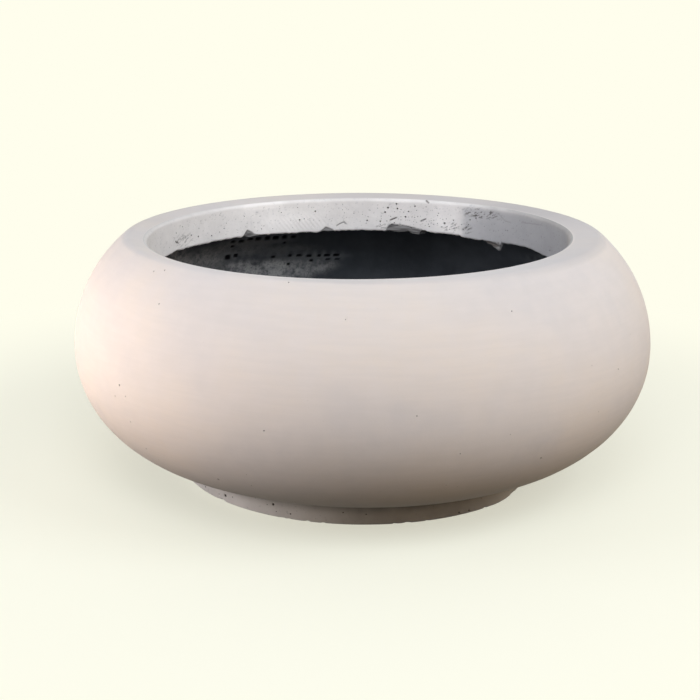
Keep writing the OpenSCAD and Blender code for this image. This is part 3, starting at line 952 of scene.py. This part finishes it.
def makeSeal(s, b):
    # The half section, up the coat's back and down its face, turned about the axis. Threads stand out near
    # the borders of the mesh's squares, by u and v; open squares, (x^4 + y^4)^(1/4) < 1, lie back.
    inset, back = s["inset"], s["inset"] - s["thickness"]
    (bellyC, bellyR), (upperC, upperR) = section["belly"], section["shoulder"]
    topAt = {k: math.degrees(math.asin((s["top"] - upperC[1]) / (upperR - k))) for k in (inset, back)}
    fineFrom, fineTo = s["fine"]
    faceZ, backZ = b["underside"] + inset, b["underside"] + inset - s["thickness"]
    drain, rim = b["drain"], b["drain"] + s["collar"]
    behind = [run((drain, backZ), (bellyC[0], backZ), 4), arc(bellyC, bellyR - back, -90, 0, 8),
              arc(upperC, upperR - back, 0, topAt[back], 16)]
    front = [arc(upperC, upperR - inset, topAt[inset], fineFrom, 5),
             arc(upperC, upperR - inset, fineFrom, fineTo, 44), arc(upperC, upperR - inset, fineTo, 0, 1),
             arc(bellyC, bellyR - inset, 0, -90, 16), run((bellyC[0], faceZ), (rim, faceZ), 10),
             run((rim, faceZ), (drain, faceZ), 2), run((drain, faceZ), (drain, backZ), 1)]
    profile = np.concatenate(behind + front)
    shown = sum(len(part) for part in behind) + 2
    count = s["meshTurns"] * s["meshColumns"]
    azimuth = ((np.arange(count) + 0.5) * 360 / count + s["meshFrom"] - 180 / s["meshTurns"])[:, None]
    points = turned(profile, np.radians(azimuth[:, 0]))
    rows = np.arange(len(profile))
    radius, level = profile[None, :, 0] / mm, profile[None, :, 1] / mm

    pitch = math.tau * (bellyC[0] + bellyR - inset) / s["meshTurns"]
    steps = np.hypot(*np.diff(profile, axis=0, append=profile[-1:]).T)
    path = np.cumsum(steps) - steps
    path = path - np.interp(-s["meshLevel"], -profile[shown:shown + 60, 1], path[shown:shown + 60])
    u = np.abs((azimuth - s["meshFrom"]) * s["meshTurns"] / 360 % 1 - 0.5)
    v = np.abs(path[None] / pitch % 1 - 0.5)
    thread = smooth(np.maximum(0.5 - u, 0.5 - v), 0.5 - s["thread"], 0.5 - s["thread"] / 2)
    opened = 0 * thread
    for a, z, wide, tall in s["open"]:
        x = np.abs(turnsFrom(azimuth, a)) * radius * math.pi / 180 / (wide / 2)
        y = np.abs(level - z) / (tall / 2)
        opened = np.maximum(opened, 1 - smooth((x**4 + y**4) ** 0.25, 0.75, 1.35))
    chance = hills(azimuth, level, s["gaps"]) * smooth(layered(points, 10 * mm, 72), -0.1, 0.2)
    opened = np.maximum(opened, chance * (1 - thread))
    thread = thread * hills(azimuth, level, s["printed"]) * (1 - opened) * (rows >= shown)
    height = s["threadHeight"] * thread - s["openDepth"] * opened
    height = height + s["wave"] * layered(points, 24 * mm, 73) + s["grain"] * layered(points, 5 * mm, 74)
    face = (rows > shown) * (rows < len(profile) - 4)
    points = points + outward(points) * (np.maximum(height, -s["deepest"]) * face)[..., None]
    traits = {"dust": hills(azimuth, level, s["dusty"]), "hole": opened, "thread": thread}
    gridPiece("sealLining", points, "bowl", "seal_coat", sealCoat, traits, crease=60)


makeSeal(seal, bowl)


# foot ring

foot = {
    "columns": 720,
    "outer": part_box("foot_ring")[1].x,
    "top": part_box("foot_ring")[1].z,
    "width": 22 * mm,
    "edgeRound": 1.5 * mm,
    "draft": 2 * mm,
    "rough": 0.45 * mm,
    "chip": 2.2 * mm,          # how far the lower edge is broken up
    "pits": (                  # azimuth, height and width in mm
        (-134, 7, 3), (-131, 8, 1.6), (-60.5, 3.5, 2.2), (-57, 3, 2), (-95, 12, 1.5), (-40, 14, 1.8),
        (60, 9, 2.4),
    ),
    "scattered": 70,
    "spalls": ((-26, 19, 6.2), (128, 9, 3.5)),   # broken out of the edge: azimuth, half-width, height in mm
    "dry": (                   # azimuth, then how much painted light the face takes near its top and near the ground
        (-160, 0.3, 0.8), (-140, 0.29, 0.8), (-130, 0.36, 0.96), (-118, 0.38, 0.85), (-105, 0.34, 0.77),
        (-90, 0.15, 0.34), (-75, 0.04, 0.28), (-60, 0.1, 0.22), (-50, 0.23, 0.28), (-40, 0.3, 0.42),
        (0, 0.3, 0.5), (90, 0.3, 0.6),
    ),
}


def makeFoot(s):
    # The half section turned about the axis, pushed in along the normal by clouds, then its lower edge lifted
    # where a cloud says that it is chipped, and by the spalls' hills.
    outer, top, r = s["outer"], s["top"], s["edgeRound"]
    inner = outer - s["width"]
    ground = inner + s["draft"]
    below = [arc((ground + r, r), r, 180, 270, 3), run((ground + r, 0), (outer - r, 0), 6),
             arc((outer - r, r), r, 270, 360, 4)]
    rise = run((outer, r), (outer, top), 16)
    profile = np.concatenate([*below, rise, run((outer, top), (inner, top), 5),
                              run((inner, top), (ground, r), 8)])
    first = sum(len(part) for part in below)
    last = first + len(rise)
    degrees = np.arange(s["columns"]) * 360 / s["columns"]
    points = turned(profile, np.radians(degrees))
    rows = np.arange(len(profile))
    face = smooth(rows, first - 4, first) * (1 - smooth(rows, last - 3, last))
    push = np.minimum(0.3 * layered(points, 30 * mm, 81) + 0.5 * layered(points, 6 * mm, 82) - 0.5, 0)
    points = points + outward(points) * (push * s["rough"] * face)[..., None]
    chip = smooth(layered(points[:, first - 1], 9 * mm, 83), 0.15, 0.8) * s["chip"]
    low = 1 - smooth(points[..., 2], 0.5 * mm, 6 * mm)
    points[..., 2] += chip[:, None] * low * smooth(rows, first - 6, first - 3)
    spall = hills(degrees, 0 * degrees, [(at, half, 0, 1, tall) for at, half, tall in s["spalls"]]) * mm
    spall = spall * (1 + 0.15 * layered(points[:, first - 1], 5 * mm, 84))
    low = 1 - smooth(points[..., 2], 0, 14 * mm)
    points[..., 2] += spall[:, None] * low * smooth(rows, len(below[0]), first - 4.5)
    rng = np.random.default_rng(31)
    many = s["scattered"]
    scattered = zip(rng.uniform(0, 360, many), rng.uniform(4, 21, many), rng.gamma(2, 0.35, many) + 0.8)
    heights = np.where((rows >= first) & (rows < last - 1), profile[:, 1] / mm, 1e3)
    marks = pitMarks(profile, s["columns"], heights, (0.8, s["pits"]), (0.8, scattered))
    # painted light on the foot: painted shade near its top, under the belly, and painted light low on the
    # left
    fall = smooth(points[..., 2], 20 * mm, 8 * mm)
    upper, lower = byAzimuth(degrees[:, None], s["dry"])
    dry = upper * (1 - fall) + lower * fall
    gridPiece("footRing", points, "bowl", "foot_ring", footConcrete, {"dry": dry},
              marks, (first - 1, last - 1), seed=13)


makeFoot(foot)


# pieces that keep their CAD shape

plainFinish = {   # node: roughness, light and dark shade, size of the lumps, height of the relief
    "backing_coat": (0.95, srgb(142, 139, 134), srgb(118, 115, 110), 12 * mm, 0.5 * mm),
    "fibre_mesh": (0.8, srgb(196, 200, 192), srgb(160, 164, 156), 4 * mm, 0.3 * mm),
    "foot_bed": (0.95, srgb(96, 90, 84), srgb(62, 58, 54), 7 * mm, 0.4 * mm),
    "drain_plug": (0.55, srgb(44, 44, 46), srgb(34, 34, 36), 9 * mm, 0.1 * mm),
}
for node, (roughness, light, dark, size, height) in plainFinish.items():
    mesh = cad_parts[node].data
    mesh.materials.clear()
    mesh.materials.append(makePlain(node, roughness, light, dark, size, height))
print("CAD pieces with a new finish:", len(plainFinish))
